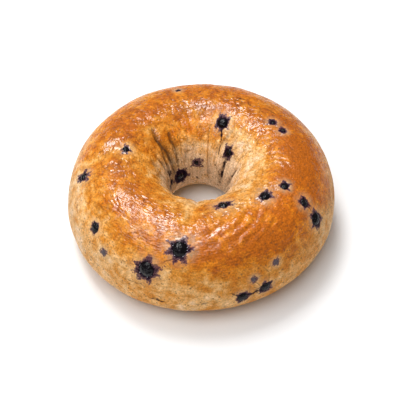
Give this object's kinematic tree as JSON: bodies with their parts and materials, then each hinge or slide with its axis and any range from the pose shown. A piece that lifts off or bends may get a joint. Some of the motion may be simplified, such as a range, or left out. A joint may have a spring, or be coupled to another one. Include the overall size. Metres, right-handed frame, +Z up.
{
  "type": "berry bagel",
  "caption": "Round baked bagel with a glossy golden brown crust, a hole through the middle and dark berries baked into its crust.",
  "frame": {"origin": "centre of the bagel's footprint, on the plane of its flat base", "axes": "+Z up through the middle of the hole; +X to the right and +Y away from the viewer, as the bagel is pictured"},
  "size_m": [0.1078, 0.1081, 0.0394],
  "materials": {
    "crust": "baked bread crust, golden brown with pale low sides and orange-brown swells, softly glossy over a finely crinkled skin",
    "berry": "cooked berry skin, nearly black with a purple edge, wet and wrinkled"
  },
  "bodies": {
    "root": {"dough": "crust", "berry_01": "berry", "berry_02": "berry", "berry_03": "berry", "berry_04": "berry", "berry_05": "berry", "berry_06": "berry", "berry_07": "berry", "berry_08": "berry", "berry_09": "berry", "berry_10": "berry", "berry_11": "berry", "berry_12": "berry", "berry_13": "berry", "berry_14": "berry", "berry_15": "berry", "berry_16": "berry", "berry_17": "berry", "berry_18": "berry", "berry_19": "berry", "berry_20": "berry", "berry_21": "berry", "berry_22": "berry", "berry_23": "berry", "berry_24": "berry", "berry_25": "berry", "berry_26": "berry", "berry_27": "berry", "berry_28": "berry"}
  },
  "joints": []
}
